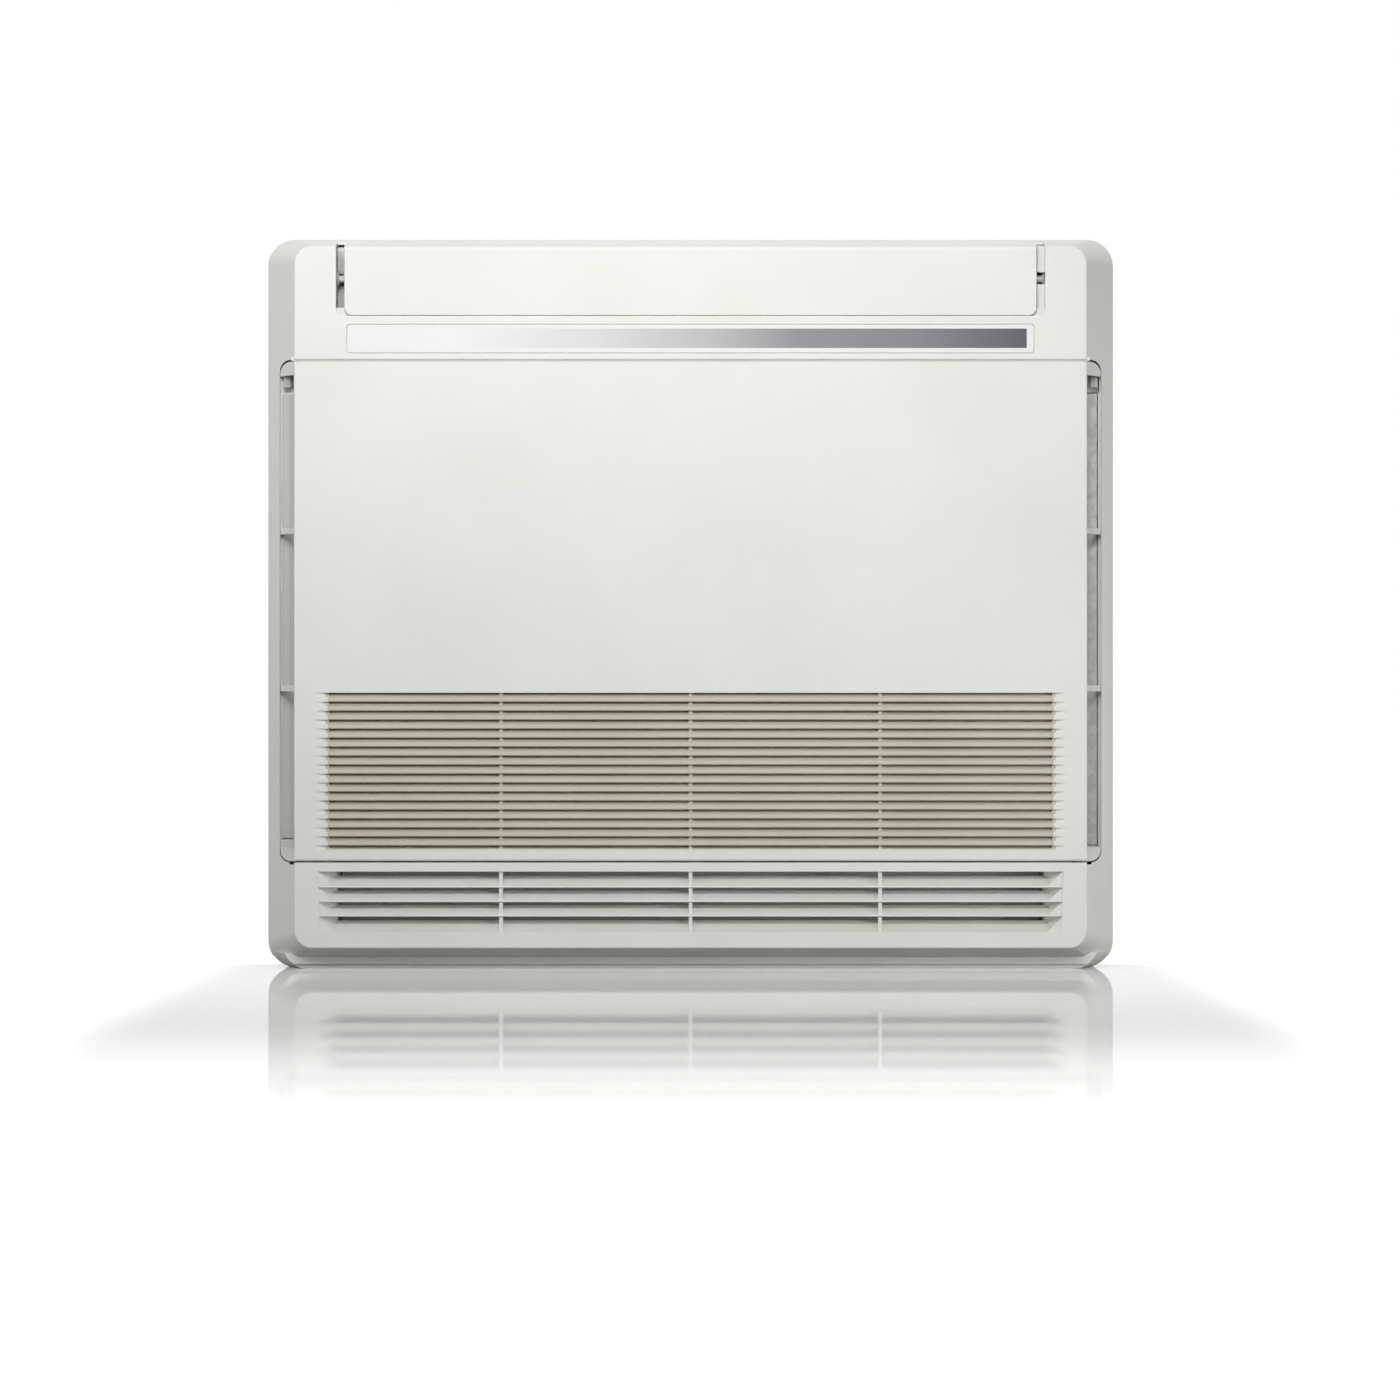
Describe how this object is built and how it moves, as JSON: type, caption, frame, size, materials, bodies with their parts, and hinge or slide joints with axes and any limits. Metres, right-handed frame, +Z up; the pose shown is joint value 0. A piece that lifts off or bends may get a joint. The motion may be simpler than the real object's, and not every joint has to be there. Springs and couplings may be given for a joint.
{
  "type": "floor console air conditioner",
  "caption": "Slim floor-standing console air conditioner: hinged front panel over lift-out filters, motorised upper flap, guide vanes, lower louvred outlet, coil and turbo fan.",
  "frame": {"origin": "centre of the footprint on the floor", "axes": "+X to the viewer's right when facing the unit, +Y to the back, towards the wall, +Z up; the front faces -Y"},
  "size_m": [0.72, 0.199, 0.62],
  "materials": {
    "white_abs": "fine satin moulded white ABS",
    "grey_abs": "moulded pale grey ABS",
    "dark_abs": "moulded near-black ABS",
    "smoked_acrylic": "clear gloss with a tint that darkens to one end",
    "circuit_board": "solder mask on glass laminate",
    "filter_net": "fine woven net in a moulded frame",
    "aluminium_fins": "bare fin stock",
    "copper_tube": "drawn copper",
    "brass_fitting": "turned brass",
    "steel_sheet": "galvanised sheet",
    "foam_duct": "moulded polystyrene"
  },
  "bodies": {
    "cabinet": {"front_cabinet": "white_abs", "lower_outlet_grille": "white_abs", "base_tray": "white_abs", "rear_casing": "grey_abs", "panel_hinge_left": "grey_abs", "panel_hinge_right": "grey_abs", "flap_bearing_left": "grey_abs", "flap_bearing_right": "grey_abs", "bell_mouth": "grey_abs", "filter_frame": "grey_abs", "cable_clamp": "grey_abs", "terminal_block": "dark_abs", "display_window": "smoked_acrylic", "display_board": "circuit_board", "control_board": "circuit_board", "evaporator_fins": "aluminium_fins", "coil_end_left": "copper_tube", "coil_end_right": "copper_tube", "gas_pipe": "copper_tube", "liquid_pipe": "copper_tube", "room_sensor": "copper_tube", "gas_flare_nut": "brass_fitting", "liquid_flare_nut": "brass_fitting", "flap_motor": "steel_sheet", "damper_motor": "steel_sheet", "wall_bracket": "steel_sheet", "fan_motor": "steel_sheet", "motor_bracket": "steel_sheet", "control_box": "steel_sheet", "control_box_cover": "steel_sheet", "upper_outlet_duct": "foam_duct", "lower_outlet_duct": "foam_duct", "drain_pan": "foam_duct"},
    "panel": {"front_panel": "white_abs"},
    "latch_left": {"panel_latch_left": "grey_abs"},
    "latch_right": {"panel_latch_right": "grey_abs"},
    "flap": {"upper_flap": "white_abs"},
    "damper": {"damper_blade": "grey_abs"},
    "fan": {"turbo_fan": "grey_abs", "fan_nut": "brass_fitting", "motor_shaft": "steel_sheet"},
    "filter_left": {"air_filter_left": "filter_net"},
    "filter_right": {"air_filter_right": "filter_net"},
    "button": {"power_button": "white_abs"},
    "switch": {"outlet_switch": "dark_abs"},
    "link_left": {"vane_link_left": "grey_abs"},
    "link_right": {"vane_link_right": "grey_abs"},
    "vane_left_1": {"vane_left_1": "dark_abs"},
    "vane_left_2": {"vane_left_2": "dark_abs"},
    "vane_left_3": {"vane_left_3": "dark_abs"},
    "vane_left_4": {"vane_left_4": "dark_abs"},
    "vane_left_5": {"vane_left_5": "dark_abs"},
    "vane_right_1": {"vane_right_1": "dark_abs"},
    "vane_right_2": {"vane_right_2": "dark_abs"},
    "vane_right_3": {"vane_right_3": "dark_abs"},
    "vane_right_4": {"vane_right_4": "dark_abs"},
    "vane_right_5": {"vane_right_5": "dark_abs"}
  },
  "joints": [
    {"name": "panel_hinge", "type": "hinge", "parent": "cabinet", "child": "panel", "pos_m": [0, -0.0925, 0.098], "axis": [1, 0, 0], "range_deg": [0, 40]},
    {"name": "latch_left_slide", "type": "slide", "parent": "panel", "child": "latch_left", "axis": [1, 0, 0], "range_m": [0, 0.004], "stiffness_N_per_m": 300, "springref_m": -0.001},
    {"name": "latch_right_slide", "type": "slide", "parent": "panel", "child": "latch_right", "axis": [-1, 0, 0], "range_m": [0, 0.004], "stiffness_N_per_m": 300, "springref_m": -0.001},
    {"name": "flap_hinge", "type": "hinge", "parent": "cabinet", "child": "flap", "pos_m": [0, -0.082, 0.584], "axis": [-1, 0, 0], "range_deg": [0, 75]},
    {"name": "damper_turn", "type": "hinge", "parent": "cabinet", "child": "damper", "pos_m": [0, -0.0445, 0.053], "axis": [1, 0, 0], "range_deg": [0, 85]},
    {"name": "fan_spin", "type": "hinge", "parent": "cabinet", "child": "fan", "pos_m": [-0.024, 0, 0.3015], "axis": [0, 1, 0], "continuous": true},
    {"name": "filter_left_lift", "type": "slide", "parent": "cabinet", "child": "filter_left", "axis": [0, 0, 1], "range_m": [0, 0.012]},
    {"name": "filter_right_lift", "type": "slide", "parent": "cabinet", "child": "filter_right", "axis": [0, 0, 1], "range_m": [0, 0.012]},
    {"name": "button_press", "type": "slide", "parent": "cabinet", "child": "button", "axis": [0, 1, 0], "range_m": [0, 0.0015], "stiffness_N_per_m": 600, "springref_m": -0.0005},
    {"name": "switch_slide", "type": "slide", "parent": "cabinet", "child": "switch", "axis": [1, 0, 0], "range_m": [0, 0.006]},
    {"name": "vane_left_1_turn", "type": "hinge", "parent": "cabinet", "child": "vane_left_1", "pos_m": [-0.27, 0.0155, 0.532], "axis": [0, 1, 0], "range_deg": [-25, 25]},
    {"name": "vane_left_2_turn", "type": "hinge", "parent": "cabinet", "child": "vane_left_2", "pos_m": [-0.214, 0.0155, 0.532], "axis": [0, 1, 0], "range_deg": [-25, 25]},
    {"name": "vane_left_3_turn", "type": "hinge", "parent": "cabinet", "child": "vane_left_3", "pos_m": [-0.158, 0.0155, 0.532], "axis": [0, 1, 0], "range_deg": [-25, 25]},
    {"name": "vane_left_4_turn", "type": "hinge", "parent": "cabinet", "child": "vane_left_4", "pos_m": [-0.102, 0.0155, 0.532], "axis": [0, 1, 0], "range_deg": [-25, 25]},
    {"name": "vane_left_5_turn", "type": "hinge", "parent": "cabinet", "child": "vane_left_5", "pos_m": [-0.046, 0.0155, 0.532], "axis": [0, 1, 0], "range_deg": [-25, 25]},
    {"name": "vane_right_1_turn", "type": "hinge", "parent": "cabinet", "child": "vane_right_1", "pos_m": [0.046, 0.0155, 0.532], "axis": [0, 1, 0], "range_deg": [-25, 25]},
    {"name": "vane_right_2_turn", "type": "hinge", "parent": "cabinet", "child": "vane_right_2", "pos_m": [0.102, 0.0155, 0.532], "axis": [0, 1, 0], "range_deg": [-25, 25]},
    {"name": "vane_right_3_turn", "type": "hinge", "parent": "cabinet", "child": "vane_right_3", "pos_m": [0.158, 0.0155, 0.532], "axis": [0, 1, 0], "range_deg": [-25, 25]},
    {"name": "vane_right_4_turn", "type": "hinge", "parent": "cabinet", "child": "vane_right_4", "pos_m": [0.214, 0.0155, 0.532], "axis": [0, 1, 0], "range_deg": [-25, 25]},
    {"name": "vane_right_5_turn", "type": "hinge", "parent": "cabinet", "child": "vane_right_5", "pos_m": [0.27, 0.0155, 0.532], "axis": [0, 1, 0], "range_deg": [-25, 25]},
    {"name": "link_left_slide", "type": "slide", "parent": "cabinet", "child": "link_left", "axis": [-1, 0, 0], "range_m": [-0.0066, 0.0066]},
    {"name": "link_right_slide", "type": "slide", "parent": "cabinet", "child": "link_right", "axis": [-1, 0, 0], "range_m": [-0.0066, 0.0066]}
  ],
  "couplings": [
    {"joint": "vane_left_2_turn", "follows": "vane_left_1_turn", "ratio": 1},
    {"joint": "vane_left_3_turn", "follows": "vane_left_1_turn", "ratio": 1},
    {"joint": "vane_left_4_turn", "follows": "vane_left_1_turn", "ratio": 1},
    {"joint": "vane_left_5_turn", "follows": "vane_left_1_turn", "ratio": 1},
    {"joint": "link_left_slide", "follows": "vane_left_1_turn", "m_per_rad": 0.01453},
    {"joint": "vane_right_2_turn", "follows": "vane_right_1_turn", "ratio": 1},
    {"joint": "vane_right_3_turn", "follows": "vane_right_1_turn", "ratio": 1},
    {"joint": "vane_right_4_turn", "follows": "vane_right_1_turn", "ratio": 1},
    {"joint": "vane_right_5_turn", "follows": "vane_right_1_turn", "ratio": 1},
    {"joint": "link_right_slide", "follows": "vane_right_1_turn", "m_per_rad": 0.01453}
  ]
}
